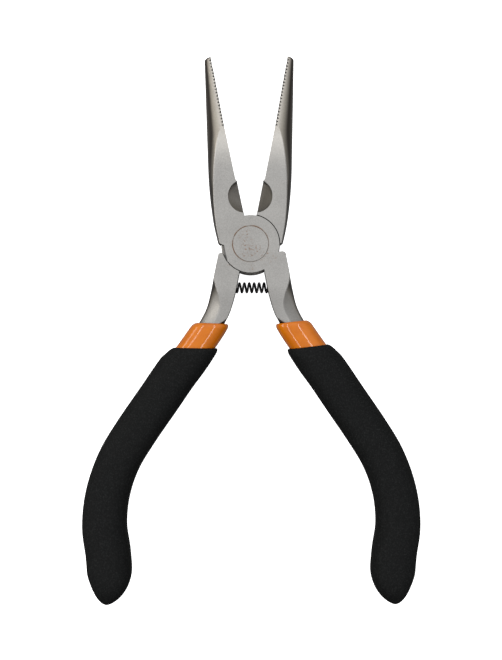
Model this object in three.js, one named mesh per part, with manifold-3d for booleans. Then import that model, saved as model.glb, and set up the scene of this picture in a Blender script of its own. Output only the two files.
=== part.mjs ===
// Spring-loaded needle nose pliers with a side cutter, lying flat and open as their spring holds
// them. Millimetres. The pivot's axis is +Z through the origin, the joint's back face is z = 0, the
// jaws point along +Y and the handles along -Y.
//
// The two levers are nearly alike: the back one is the front one turned half a turn about Y. Its
// boss is slightly larger and fully round, where the front one has a flat, and its handle is set a
// little differently. They cross at the joint, so the front lever holds the left jaw and the right
// handle. A lever is drawn shut, with its jaw against the plane x = 0, and is then swung open.

import * as THREE from "three";
import { mergeVertices } from "three/addons/utils/BufferGeometryUtils.js";
import Module from "manifold-3d";

const wasm = await Module();
wasm.setup();

// ---------------------------------------------------------------- driving dimensions

const JOINT_THICKNESS = 7.6; // over the ground flats, front to back
const FRONT_REST_ANGLE = 12; // degrees that the spring swings each lever from shut
const BACK_REST_ANGLE = 11.1;

// Joint
const FRONT_BOSS_RADIUS = 6.5; // of the half-thickness boss that each lever brings to the joint
const FRONT_BOSS_FLAT = 5.93; // the front boss is cut flat at this distance, beside its jaw's stop
const BACK_BOSS_RADIUS = 6.75;
const SEAM_GAP = 0.2; // between a boss's rim and the other lever's shoulders
const LAP_GAP = 0.1; // between the two bosses
const RIVET_HEAD_RADIUS = 4.05;
const RIVET_HEAD_DEPTH = 1.3;
const RIVET_SHANK_RADIUS = 2.9;
const RIVET_GAP = 0.08;

// Jaw
const JAW_LENGTH = 44; // pivot to tip
const JAW_TIP_WIDTH = 1.5;
const JAW_TAPER = 0.178; // width gained for each millimetre back from the tip
const JAW_BASE_WIDTH = 7.4;
const JAW_BASE_NARROWING = 0.2; // lost again towards the shoulder
const JAW_BASE_ROUNDING = 1.5; // how softly the taper turns into the parallel base
const JAW_TIP_THICKNESS = 2.6;
const JAW_GROUND_LENGTH = 27.2; // the flat narrows to nothing here, where the half-round nose begins
const JAW_LEAST_FLAT = 0.12; // beside the bite face
const JAW_CROWN_GROWTH = 0.0018; // how fast the forging's crown outgrows the flats behind the nose
const JAW_TIP_CORNER = 0.55;
const JAW_TIP_FACE_ROUNDING = 0.6; // share of that corner that the front and back are rounded by
const JAW_SHOULDER_Y = 2.0; // where the jaw ends above the stop
const JAW_SHOULDER_SLOPE = 0.75;
const BITE_GAP = 0.03; // each jaw's share of the light gap when shut
const BITE_RELIEF = 0.3; // how far the bite face stands back between the cutter and the teeth
const BITE_STEP = 0.5; // the length over which it steps back from the cutting edge
const BITE_MEETS_FROM = 26; // and over these it comes forward again to the tip
const BITE_MEETS_BY = 40;

// Teeth
const TOOTH_PITCH = 0.78;
const TOOTH_DEPTH = 0.6;
const TOOTH_OPENING = 0.88; // share of the pitch that a groove takes up at the bite face
const TOOTH_COUNT = 21;
const TOOTH_TIP_MARGIN = 0.5; // from the jaw's tip to the first groove

// Side cutter
const CUTTER_MIDDLE_Y = 10.85;
const CUTTER_SCOOP_RADIUS = 3.8;
const CUTTER_SCOOP_OFFSET = 0.95; // the scoop's centre lies beyond the bite face
const CUTTER_BEVEL_REACH = 3.1; // how far the bevel runs back over the flat
const CUTTER_LAND = 0.12; // half the width of the cutting edge
const CUTTER_END_Y = CUTTER_MIDDLE_Y + 3.65;

// Shank and tang
const SHANK_WIDTH = 5.6;
const SHANK_MIDDLE_X = 4.35;
const SHANK_CROWN = 1.6; // how crisply its forged side meets the flat
const SHANK_LEAST_ROLL = 0.15; // how far its outer side bulges where it is still square
const HANDLE_LEAN = 0.6; // degrees: the front handle leans in and the back one out
const HANDLE_LEAN_ABOUT = [11, -33];
const SHANK_SHOULDER_Y = -3.15;
const SHANK_SHOULDER_CORNER = 1.0;
const TANG_WIDTH = 5.2;
const TANG_THICKNESS = 5.6;
const TANG_END_WIDTH = 4.2;
const TANG_END_BEFORE_TIP = 9; // steel stops this far before the grip's tip
// Each change towards the tang runs between two distances from the sleeve's mouth.
const TANG_SLIMMING = [-9, 0];
const OUTER_ROLLING = [-11, -3.5];
const INNER_ROLLING = [-2.7, 1.3];
const CROWN_ROLLING = [-1, 4];
const OUTER_ROLL = 0.57; // share of the width that each side bulges by once it is rolled off
const INNER_ROLL = 0.42;

// Sleeves. A side wall is measured across the handle, a face wall towards the front and the back.
const SLEEVE_GAP = 0.15; // between the tang and the dipped sleeve, and between sleeve and foam
const SLEEVE_START = 17.9; // along the handle's middle line from its top
const DIPPED_SIDE_WALL = 1.025;
const DIPPED_FACE_WALL = 0.75;
const DIPPED_END_SIDE_WALL = 0.95;
const DIPPED_END_WALL = 2.4; // of coat beyond the tang's end
const DIPPED_END_TAPER = 3;
const DIPPED_SQUARENESS = 2.4; // of its section: 2 is an ellipse
const GRIP_START = 24.7;
const GRIP_NECK_SIDE_WALL = 0.675;
const GRIP_NECK_FACE_WALL = 0.52;
const GRIP_NECK_LENGTH = 6;
const GRIP_SIDE_WALL = 1.05;
const GRIP_FACE_WALL = 0.85;
const GRIP_PALM_SIDE_WALL = 1.22;
const GRIP_PALM = [0.62, 0.86]; // shares of the handle over which it widens to fill the palm
const GRIP_SQUARENESS = 2.5;
const GRIP_TIP_TAPER = 8.4; // length of the rounded, tapered end
const RIGHT_DIPPED_SHEAR = 0.42; // sleeves are cut aslant: the outer side starts later
const LEFT_DIPPED_SHEAR = 0.52;
const RIGHT_GRIP_SHEAR = 0.55;
const LEFT_GRIP_SHEAR = 0.7;
const MOUTH_SHEAR_LENGTH = 9; // over which a sleeve's sections turn square to the handle
const MOUTH_ROUNDING = 0.6;
const END_SIDE_ROUNDING = [1.75, 0.66]; // exponents of a closed end's outline, across the handle
const END_FACE_ROUNDING = [2.6, 0.6]; // and towards the front and the back

// Return spring
const SPRING_WIRE = 0.5;
const SPRING_RADIUS = 1.06; // of the coil's middle line
const SPRING_PITCH = 1.13;
const SPRING_Y = -9.8; // it lies straight across below the pivot at rest
const SOCKET_DEPTH = 1.6;
const SOCKET_GAP = 0.18;

// The handle's middle line with the pliers shut, from the joint to the grip's tip.
const HANDLE_LINE = [
  [SHANK_MIDDLE_X, -1.5],
  [SHANK_MIDDLE_X, -7],
  [SHANK_MIDDLE_X, -12.5],
  [4.7, -16.5],
  [5.85, -20.5],
  [8.4, -26.5],
  [11.15, -32.3],
  [13.75, -38.5],
  [17.5, -47.4],
  [19.65, -53.4],
  [20.7, -59],
  [20.85, -64.5],
  [20, -70.3],
  [18.05, -75.8],
  [16.55, -81.5],
  [16.1, -87.6],
];

// Fineness of the round stretches
const HOLE_SIDES = 64;
const SIDE_STEPS = 9; // across a bulged side
const SLEEVE_SIDES = 20;
const SPRING_STEPS_A_TURN = 12;
const CORNER_STEPS = 6;

// Cutting shapes
const CUT_PAST = 1; // how far they run past the faces that they cut
const CUT_BLOCK = 40; // the edge of a block that clears the whole joint

const MIDDLE_Z = JOINT_THICKNESS / 2;
const SPRING_SOCKET_RADIUS = SPRING_RADIUS + SPRING_WIRE / 2 + SOCKET_GAP;
const SHANK_INNER_X = SHANK_MIDDLE_X - SHANK_WIDTH / 2;
const SLEEVE_WIDTH = TANG_WIDTH + 2 * (SLEEVE_GAP + DIPPED_SIDE_WALL);
const SLEEVE_THICKNESS = TANG_THICKNESS + 2 * (SLEEVE_GAP + DIPPED_FACE_WALL);
const DIPPED_END_WIDTH = TANG_END_WIDTH + 2 * (SLEEVE_GAP + DIPPED_END_SIDE_WALL);

// How far from the middle a spring socket's floor is, along the spring's line at rest.
function socketFloorX({ restAngle, lean }) {
  const leanedX = SHANK_INNER_X - Math.tan(radians(lean)) * (SPRING_Y - HANDLE_LEAN_ABOUT[1]);
  const tilt = radians(restAngle + lean);
  return leanedX / Math.cos(tilt) - SPRING_Y * Math.tan(tilt) + SOCKET_DEPTH;
}

// ---------------------------------------------------------------- small helpers

const radians = THREE.MathUtils.degToRad;
const clamp01 = (t) => THREE.MathUtils.clamp(t, 0, 1);
const mix = THREE.MathUtils.lerp;
const ease = (a, b, t) => THREE.MathUtils.smoothstep(t, a, b);

// The lower of two values, with the corner between them rounded over the given width.
function softMin(a, b, width) {
  const h = clamp01(0.5 + (b - a) / (2 * width));
  return mix(b, a, h) - width * h * (1 - h);
}

// A closed three.js geometry as a manifold-3d solid, for joining and cutting.
function solid(geometry) {
  const bare = geometry.index ? geometry.toNonIndexed() : geometry.clone();
  bare.deleteAttribute("normal");
  bare.deleteAttribute("uv");
  const merged = mergeVertices(bare, 1e-4);
  return new wasm.Manifold(
    new wasm.Mesh({
      numProp: 3,
      vertProperties: merged.attributes.position.array,
      triVerts: new Uint32Array(merged.index.array),
    }),
  );
}

// A manifold-3d solid back as a three.js geometry.
function geometryOf(made) {
  const { numProp, vertProperties, triVerts } = made.getMesh();
  const corners = new Float32Array(triVerts.length * 3);
  triVerts.forEach((vertex, i) => {
    corners.set(vertProperties.subarray(vertex * numProp, vertex * numProp + 3), i * 3);
  });
  const geometry = new THREE.BufferGeometry();
  geometry.setAttribute("position", new THREE.BufferAttribute(corners, 3));
  geometry.computeVertexNormals();
  return geometry;
}

// A skin over rings of points, closed at both ends by a fan to the end ring's centre.
function loft(rings) {
  const sides = rings[0].length;
  const points = rings.flat();
  const centreOf = (ring) =>
    ring.reduce((sum, p) => sum.add(p), new THREE.Vector3()).divideScalar(sides);
  points.push(centreOf(rings[0]), centreOf(rings.at(-1)));
  const faces = [];
  const last = (rings.length - 1) * sides;
  for (let i = 0; i < sides; i++) {
    const next = (i + 1) % sides;
    for (let ring = 0; ring < last; ring += sides) {
      faces.push(ring + i, ring + next, ring + sides + next);
      faces.push(ring + i, ring + sides + next, ring + sides + i);
    }
    faces.push(points.length - 2, next, i);
    faces.push(points.length - 1, last + i, last + next);
  }
  const geometry = new THREE.BufferGeometry().setFromPoints(points);
  geometry.setIndex(faces);
  return geometry;
}

const cylinder = (radius, low, high, sides = HOLE_SIDES) =>
  new THREE.CylinderGeometry(radius, radius, high - low, sides)
    .rotateX(Math.PI / 2)
    .translate(0, 0, (low + high) / 2);

// Extrudes an outline in the XY plane from z = low to z = high.
function plate(outline, low, high) {
  const shape = new THREE.Shape(outline.map(([x, y]) => new THREE.Vector2(x, y)));
  return new THREE.ExtrudeGeometry(shape, { depth: high - low, bevelEnabled: false }).translate(
    0,
    0,
    low,
  );
}

// ---------------------------------------------------------------- forged sections

// A forged side is part of an ellipse that the ground flats cut off. Its crown is the ellipse's half
// height over the flats' half thickness: 1 rolls smoothly into the flat, and more meets it crisply.
const LEAST_CROWN = 1.001;

// How much of the ellipse's half width lies beyond the edge of the flat.
const bulge = (crown) => 1 - Math.sqrt(1 - 1 / crown ** 2);

// One side of a forged section, from its bottom edge to its top edge. It bulges by `reach`.
function bulgedSide(edge, outward, reach, halfThickness, crown) {
  return Array.from({ length: SIDE_STEPS + 1 }, (_, i) => {
    const z = Math.sin((i / SIDE_STEPS - 0.5) * Math.PI);
    const drawnIn = (1 - Math.sqrt(1 - (z / crown) ** 2)) / bulge(crown);
    return [edge + outward * reach * (1 - drawnIn), z * halfThickness];
  });
}

// A forged section's corner points, anticlockwise: x across the section, z through its thickness.
function forgedSection({ from, to, fromReach, toReach, halfThickness, crown }) {
  const held = Math.max(crown, LEAST_CROWN);
  const right = bulgedSide(to - toReach, 1, toReach, halfThickness, held);
  const left = bulgedSide(from + fromReach, -1, fromReach, halfThickness, held);
  return [...right, ...left.reverse()];
}

// ---------------------------------------------------------------- jaw

function jawWidth(y) {
  const tapered = JAW_TIP_WIDTH + JAW_TAPER * (JAW_LENGTH - y);
  const full = softMin(tapered, JAW_BASE_WIDTH, JAW_BASE_ROUNDING);
  return full - JAW_BASE_NARROWING * (1 - ease(JAW_SHOULDER_Y - 2, JAW_SHOULDER_Y + 5, y));
}

// How far the bite face stands back from the closed jaws' meeting plane.
function biteRelief(y) {
  const beyondCutter = clamp01((y - CUTTER_END_Y) / BITE_STEP);
  const towardsTip = clamp01((y - BITE_MEETS_FROM) / (BITE_MEETS_BY - BITE_MEETS_FROM));
  return BITE_GAP + BITE_RELIEF * beyondCutter * (1 - towardsTip);
}

function jawSection(y) {
  const width = jawWidth(y);
  const behindNose = JAW_GROUND_LENGTH - y;
  const noseSlope = (1 - JAW_TIP_THICKNESS / JOINT_THICKNESS) / (JAW_LENGTH - JAW_GROUND_LENGTH);
  const crown = 1 + noseSlope * behindNose + JAW_CROWN_GROWTH * Math.max(0, behindNose) ** 2;
  const cornerLeft = Math.max(0, y - (JAW_LENGTH - JAW_TIP_CORNER)) / JAW_TIP_CORNER;
  const corner = JAW_TIP_CORNER * (1 - Math.sqrt(1 - cornerLeft ** 2));
  const rounded = width - corner - biteRelief(y) - JAW_LEAST_FLAT;
  return forgedSection({
    from: -width + corner,
    to: -biteRelief(y),
    fromReach: rounded * bulge(Math.max(crown, LEAST_CROWN)),
    toReach: 0,
    halfThickness: (JOINT_THICKNESS / 2) * Math.min(crown, 1) - corner * JAW_TIP_FACE_ROUNDING,
    crown,
  });
}

function jaw() {
  const groundFrom = CUTTER_END_Y + BITE_STEP;
  const along = (from, to, shares) => shares.map((share) => mix(from, to, share));
  const stations = [
    ...along(0, CUTTER_END_Y, [0, 0.14, 0.28, 0.42, 0.56, 0.7, 0.85, 1]),
    ...along(groundFrom, JAW_GROUND_LENGTH, [0, 0.2, 0.38, 0.54, 0.68, 0.8, 0.89, 0.96, 1]),
    ...along(JAW_GROUND_LENGTH, JAW_LENGTH - JAW_TIP_CORNER, [0.15, 0.32, 0.5, 0.7, 0.9, 1]),
    ...along(JAW_LENGTH - JAW_TIP_CORNER, JAW_LENGTH, [0.45, 0.8, 1]),
  ];
  const rings = stations.map((y) =>
    jawSection(y).map(([x, z]) => new THREE.Vector3(x, y, MIDDLE_Z + z)),
  );
  return solid(loft(rings.reverse()));
}

// What is cut away below the jaw's shoulder, which stops the lever against the other one's handle.
function belowJawShoulder() {
  const shoulderY = (x) => JAW_SHOULDER_Y - JAW_SHOULDER_SLOPE * (x + JAW_BASE_WIDTH);
  const [left, right, low] = [-CUT_BLOCK / 2, CUT_BLOCK / 4, -CUT_BLOCK];
  const outline = [
    [left, shoulderY(left)],
    [left, low],
    [right, low],
    [right, shoulderY(right)],
  ];
  return solid(plate(outline, -CUT_PAST, JOINT_THICKNESS + CUT_PAST));
}

// V grooves across the bite face, square to it.
function teeth() {
  const groove = cylinder(1, -MIDDLE_Z - CUT_PAST, MIDDLE_Z + CUT_PAST, 4);
  groove.scale(TOOTH_DEPTH, (TOOTH_PITCH * TOOTH_OPENING) / 2, 1);
  const grooves = Array.from({ length: TOOTH_COUNT }, (_, i) => {
    const y = JAW_LENGTH - TOOTH_TIP_MARGIN - (i + 0.5) * TOOTH_PITCH;
    return solid(groove.clone().translate(-biteRelief(y), y, MIDDLE_Z));
  });
  return wasm.Manifold.union(grooves);
}

// The bevel that leaves the cutting edge: a round scoop whose floor slopes down to the bite face.
function cutterScoop() {
  const scoop = solid(
    cylinder(CUTTER_SCOOP_RADIUS, 0, JOINT_THICKNESS).translate(
      CUTTER_SCOOP_OFFSET,
      CUTTER_MIDDLE_Y,
      MIDDLE_Z,
    ),
  );
  const floor = new THREE.Shape([
    new THREE.Vector2(-CUTTER_BEVEL_REACH, MIDDLE_Z),
    new THREE.Vector2(-BITE_GAP, CUTTER_LAND),
    new THREE.Vector2(JOINT_THICKNESS, CUTTER_LAND),
    new THREE.Vector2(JOINT_THICKNESS, JOINT_THICKNESS),
    new THREE.Vector2(-CUTTER_BEVEL_REACH, JOINT_THICKNESS),
  ]);
  const above = new THREE.ExtrudeGeometry(floor, { depth: CUT_BLOCK, bevelEnabled: false })
    .rotateX(Math.PI / 2)
    .translate(0, CUTTER_MIDDLE_Y + CUT_BLOCK / 2, MIDDLE_Z);
  return scoop.intersect(solid(above));
}

// ---------------------------------------------------------------- handle

const handleLine = new THREE.CatmullRomCurve3(
  HANDLE_LINE.map(([x, y]) => new THREE.Vector3(x, y, MIDDLE_Z)),
  false,
  "centripetal",
);
handleLine.arcLengthDivisions = 600;
const HANDLE_LENGTH = handleLine.getLength();

// A ring of section points set across the handle at a distance along its middle line. Shear pushes
// the outer side on along the handle and holds the inner side back.
function ringAcrossHandle(along, section, shear = 0) {
  const share = clamp01(along / HANDLE_LENGTH);
  const centre = handleLine.getPointAt(share);
  const forward = handleLine.getTangentAt(share);
  const outward = new THREE.Vector3(-forward.y, forward.x, 0);
  return section.map(([across, z]) =>
    centre
      .clone()
      .addScaledVector(outward, across)
      .addScaledVector(forward, across * shear)
      .add(new THREE.Vector3(0, 0, z)),
  );
}

// The steel's section: square at the joint, rolled off towards the tang on its outer side first.
function tangSection(along, growth) {
  const eased = ([from, to]) => ease(from, to, along - SLEEVE_START);
  const slimming = eased(TANG_SLIMMING);
  const ending = clamp01((along - SLEEVE_START) / (HANDLE_LENGTH - SLEEVE_START));
  const width = mix(SHANK_WIDTH, mix(TANG_WIDTH, TANG_END_WIDTH, ending), slimming);
  return forgedSection({
    from: -width / 2 - growth,
    to: width / 2 + growth,
    fromReach: width * INNER_ROLL * eased(INNER_ROLLING),
    toReach: mix(SHANK_LEAST_ROLL, width * OUTER_ROLL, eased(OUTER_ROLLING)),
    halfThickness: mix(JOINT_THICKNESS, TANG_THICKNESS, slimming) / 2 + growth,
    crown: mix(SHANK_CROWN, 1, eased(CROWN_ROLLING)),
  });
}

// The shank and tang; grown, it is the hole that the tang needs in its dipped sleeve.
function tang(growth = 0) {
  const stations = [0, 4, 7, 8.5];
  for (let along = 10; along < SLEEVE_START + 3; along += 1.2) stations.push(along);
  const end = HANDLE_LENGTH - TANG_END_BEFORE_TIP + growth;
  const steps = 14;
  const first = SLEEVE_START + 4;
  for (let i = 0; i <= steps; i++) stations.push(mix(first, end, i / steps));
  const rings = stations.map((along) => ringAcrossHandle(along, tangSection(along, growth)));
  return solid(loft(rings));
}

// What is cut away above the shank's shoulder, leaving its outer corner rounded.
function aboveShankShoulder() {
  const outer = SHANK_MIDDLE_X + SHANK_WIDTH / 2;
  const corner = SHANK_SHOULDER_CORNER;
  const outline = [
    [SHANK_INNER_X - CUT_PAST, CUT_PAST],
    [SHANK_INNER_X - CUT_PAST, SHANK_SHOULDER_Y],
  ];
  for (let i = 0; i <= CORNER_STEPS; i++) {
    const turn = ((1 - i / CORNER_STEPS) * Math.PI) / 2;
    outline.push([
      outer - corner + corner * Math.cos(turn),
      SHANK_SHOULDER_Y - corner + corner * Math.sin(turn),
    ]);
  }
  outline.push([outer + CUT_PAST, SHANK_SHOULDER_Y - corner], [outer + CUT_PAST, CUT_PAST]);
  return solid(plate(outline.reverse(), -CUT_PAST, JOINT_THICKNESS + CUT_PAST));
}

// The blind hole in the shank's inner face that holds one end of the return spring. It points
// straight across the pliers when they are at rest.
function springSocket(half) {
  const hole = cylinder(SPRING_SOCKET_RADIUS, 0, socketFloorX(half), 24).rotateY(Math.PI / 2);
  return solid(hole.translate(0, SPRING_Y, MIDDLE_Z).rotateZ(-radians(half.restAngle)));
}

// A rounded section that is flatter than an ellipse on its four sides.
function softSection(width, thickness, squareness) {
  return Array.from({ length: SLEEVE_SIDES }, (_, i) => {
    const turn = (i / SLEEVE_SIDES) * 2 * Math.PI;
    const [c, s] = [Math.cos(turn), Math.sin(turn)];
    const bend = (v) => Math.sign(v) * Math.abs(v) ** (2 / squareness);
    return [(width / 2) * bend(c), (thickness / 2) * bend(s)];
  });
}

// How much of the full section is left near the tip of a closed end.
function endShares(along, end, taper) {
  const done = clamp01(1 - (end - along) / taper);
  const left = ([inner, outer]) => (1 - done ** inner) ** outer;
  return [left(END_SIDE_ROUNDING), left(END_FACE_ROUNDING)];
}

// The outside of a sleeve whose mouth is cut aslant and rounded, as a solid. Its section gives the
// width and thickness at a distance along the handle.
function sleeveOutside(mouthShear, start, section, squareness, stations) {
  const rings = stations.map((along) => {
    const shear = mouthShear * (1 - ease(start, start + MOUTH_SHEAR_LENGTH, along));
    const toFull = clamp01((along - start) / MOUTH_ROUNDING);
    const rounding = 2 * MOUTH_ROUNDING * (1 - Math.sqrt(1 - (1 - toFull) ** 2));
    const [width, thickness] = section(along);
    const ring = softSection(width - rounding, thickness - rounding, squareness);
    return ringAcrossHandle(along, ring, shear);
  });
  return solid(loft(rings));
}

// Stations from a sleeve's mouth to its closed end: fine over the mouth's rounding, even to where
// the end tapers, and finer again over the taper.
function sleeveStations(start, taperStart, end, steps) {
  const mouth = [0, 0.12, 0.4].map((t) => start + t * MOUTH_ROUNDING);
  const first = start + MOUTH_ROUNDING;
  const even = Array.from({ length: steps }, (_, i) => mix(first, taperStart, i / steps));
  const fine = [0, 0.22, 0.42, 0.6, 0.75, 0.87, 0.95, 0.995].map((t) => mix(taperStart, end, t));
  return [...mouth, ...even, ...fine];
}

const DIPPED_END = HANDLE_LENGTH - TANG_END_BEFORE_TIP + DIPPED_END_WALL;

// The coat that the tang is dipped in, which shows between the steel and the foam. Grown, it is the
// hole that it needs in the grip.
function dippedOutside(half, growth = 0) {
  const end = DIPPED_END + growth;
  const section = (along) => {
    const toEnd = clamp01((along - SLEEVE_START) / (DIPPED_END - SLEEVE_START));
    const [wide, thick] = endShares(along, end, DIPPED_END_TAPER);
    const width = mix(SLEEVE_WIDTH, DIPPED_END_WIDTH, toEnd);
    return [(width + 2 * growth) * wide, (SLEEVE_THICKNESS + 2 * growth) * thick];
  };
  const stations = sleeveStations(SLEEVE_START, end - DIPPED_END_TAPER, end, 13);
  return sleeveOutside(half.dippedShear, SLEEVE_START, section, DIPPED_SQUARENESS, stations);
}

function gripOutside(half) {
  const section = (along) => {
    const neck = ease(GRIP_START, GRIP_START + GRIP_NECK_LENGTH, along);
    const palm = ease(...GRIP_PALM, along / HANDLE_LENGTH);
    const sideWall = mix(mix(GRIP_NECK_SIDE_WALL, GRIP_SIDE_WALL, neck), GRIP_PALM_SIDE_WALL, palm);
    const faceWall = mix(GRIP_NECK_FACE_WALL, GRIP_FACE_WALL, neck);
    const [wide, thick] = endShares(along, HANDLE_LENGTH, GRIP_TIP_TAPER);
    return [
      (SLEEVE_WIDTH + 2 * (SLEEVE_GAP + sideWall)) * wide,
      (SLEEVE_THICKNESS + 2 * (SLEEVE_GAP + faceWall)) * thick,
    ];
  };
  const stations = sleeveStations(GRIP_START, HANDLE_LENGTH - GRIP_TIP_TAPER, HANDLE_LENGTH, 15);
  return sleeveOutside(half.gripShear, GRIP_START, section, GRIP_SQUARENESS, stations);
}

const dippedSleeve = (half) => dippedOutside(half).subtract(tang(SLEEVE_GAP));
const foamGrip = (half) => gripOutside(half).subtract(dippedOutside(half, SLEEVE_GAP));

// ---------------------------------------------------------------- lever, rivet and spring

// What differs between the two halves. Angles are in degrees, from shut.
const FRONT = {
  restAngle: FRONT_REST_ANGLE,
  bossRadius: FRONT_BOSS_RADIUS,
  bossFlat: FRONT_BOSS_FLAT,
  otherBossRadius: BACK_BOSS_RADIUS,
  lean: -HANDLE_LEAN,
  dippedShear: RIGHT_DIPPED_SHEAR,
  gripShear: RIGHT_GRIP_SHEAR,
};
const BACK = {
  restAngle: BACK_REST_ANGLE,
  bossRadius: BACK_BOSS_RADIUS,
  bossFlat: BACK_BOSS_RADIUS + 1, // so nothing is cut off
  otherBossRadius: FRONT_BOSS_RADIUS,
  lean: HANDLE_LEAN,
  dippedShear: LEFT_DIPPED_SHEAR,
  gripShear: LEFT_GRIP_SHEAR,
};

// Leans a part of a handle, drawn on the middle line, to where its half's handle is set.
function leaned(half, part) {
  const [x, y] = HANDLE_LEAN_ABOUT;
  return part.translate([-x, -y, 0]).rotate([0, 0, half.lean]).translate([x, y, 0]);
}

function lever(half) {
  const front = MIDDLE_Z + LAP_GAP / 2;
  const round = solid(cylinder(half.bossRadius, front, JOINT_THICKNESS));
  const besideFlat = new THREE.BoxGeometry(CUT_BLOCK, CUT_BLOCK, CUT_BLOCK);
  const boss = round.subtract(solid(besideFlat.translate(-half.bossFlat - CUT_BLOCK / 2, 0, 0)));
  const pocket = solid(cylinder(half.otherBossRadius + SEAM_GAP, -CUT_PAST, front));
  const scoop = cutterScoop();
  const otherScoop = scoop.mirror([0, 0, 1]).translate([0, 0, JOINT_THICKNESS]);
  const rivetHole = solid(
    cylinder(RIVET_SHANK_RADIUS + RIVET_GAP, -CUT_PAST, JOINT_THICKNESS + CUT_PAST),
  );
  const headRecess = solid(
    cylinder(
      RIVET_HEAD_RADIUS + RIVET_GAP,
      JOINT_THICKNESS - RIVET_HEAD_DEPTH - RIVET_GAP,
      JOINT_THICKNESS + CUT_PAST,
    ),
  );
  return jaw()
    .subtract(belowJawShoulder())
    .subtract(teeth())
    .subtract(scoop)
    .subtract(otherScoop)
    .add(leaned(half, tang().subtract(aboveShankShoulder())).subtract(springSocket(half)))
    .subtract(pocket)
    .add(boss)
    .subtract(rivetHole)
    .subtract(headRecess);
}

function rivet() {
  const frontHead = JOINT_THICKNESS - RIVET_HEAD_DEPTH;
  const profile = [
    [0, 0],
    [RIVET_HEAD_RADIUS, 0],
    [RIVET_HEAD_RADIUS, RIVET_HEAD_DEPTH],
    [RIVET_SHANK_RADIUS, RIVET_HEAD_DEPTH],
    [RIVET_SHANK_RADIUS, frontHead],
    [RIVET_HEAD_RADIUS, frontHead],
    [RIVET_HEAD_RADIUS, JOINT_THICKNESS],
    [0, JOINT_THICKNESS],
  ].map(([r, z]) => new THREE.Vector2(r, z));
  return new THREE.LatheGeometry(profile, HOLE_SIDES).rotateX(Math.PI / 2);
}

// The spring's wire: a straight helix from one socket's floor to the other's.
class SpringWire extends THREE.Curve {
  constructor() {
    super();
    const seat = SPRING_WIRE / 2 + SOCKET_GAP;
    this.from = seat - socketFloorX(BACK);
    this.to = socketFloorX(FRONT) - seat;
  }
  getPoint(t, target = new THREE.Vector3()) {
    const wind = (t * (this.to - this.from) * 2 * Math.PI) / SPRING_PITCH;
    return target.set(
      mix(this.from, this.to, t),
      SPRING_Y + SPRING_RADIUS * Math.cos(wind),
      MIDDLE_Z + SPRING_RADIUS * Math.sin(wind),
    );
  }
}

function spring() {
  const wire = new THREE.Shape().absarc(0, 0, SPRING_WIRE / 2, 0, 2 * Math.PI);
  const path = new SpringWire();
  const turns = (path.to - path.from) / SPRING_PITCH;
  return new THREE.ExtrudeGeometry(wire, {
    steps: Math.round(turns * SPRING_STEPS_A_TURN),
    curveSegments: 3,
    extrudePath: path,
  });
}

// ---------------------------------------------------------------- materials

const steel = new THREE.MeshStandardMaterial({ color: 0xa9a8a3, roughness: 0.45, metalness: 1 });
const springSteel = new THREE.MeshStandardMaterial({ color: 0x0b0b0b, roughness: 0.5, metalness: 0.6 });
const dippedVinyl = new THREE.MeshStandardMaterial({ color: 0xd8690f, roughness: 0.3, metalness: 0 });
const foam = new THREE.MeshStandardMaterial({ color: 0x121414, roughness: 0.95, metalness: 0 });

// ---------------------------------------------------------------- assembly

function mesh(name, geometry, material) {
  const made = new THREE.Mesh(geometry, material);
  made.name = name;
  return made;
}

// A lever with the sleeve and the grip that are pushed on its handle, drawn shut.
function leverGroup(half, side, handleSide) {
  const group = new THREE.Group();
  const sleeveMade = geometryOf(leaned(half, dippedSleeve(half)));
  const gripMade = geometryOf(leaned(half, foamGrip(half)));
  group.add(mesh(side + "_lever", geometryOf(lever(half)), steel));
  group.add(mesh(handleSide + "_dipped_sleeve", sleeveMade, dippedVinyl));
  group.add(mesh(handleSide + "_foam_grip", gripMade, foam));
  return group;
}

const frontHalf = leverGroup(FRONT, "front", "right");
frontHalf.rotation.z = radians(FRONT_REST_ANGLE);

// Turned half a turn about the pliers' long axis, through the middle of the joint.
const turnedOver = leverGroup(BACK, "back", "left");
turnedOver.rotation.y = Math.PI;
turnedOver.position.z = JOINT_THICKNESS;
const backHalf = new THREE.Group();
backHalf.add(turnedOver);
backHalf.rotation.z = -radians(BACK_REST_ANGLE);

const pliers = new THREE.Group();
pliers.add(frontHalf);
pliers.add(backHalf);
pliers.add(mesh("pivot_rivet", rivet(), steel));
pliers.add(mesh("return_spring", spring(), springSteel));

export default pliers;
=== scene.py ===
# %% [markdown]
# # Spring-loaded needle nose pliers
# The pliers are two steel levers that cross at a riveted lap joint. A small return spring holds
# them open, and each handle is dipped in orange vinyl and pushed into a black foam grip. The CAD
# model says where every piece is and how it moves. This lesson rebuilds the visible pieces finely
# and gives them their finishes.

import math

import bpy
import numpy as np
from mathutils import Matrix, Vector


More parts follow.
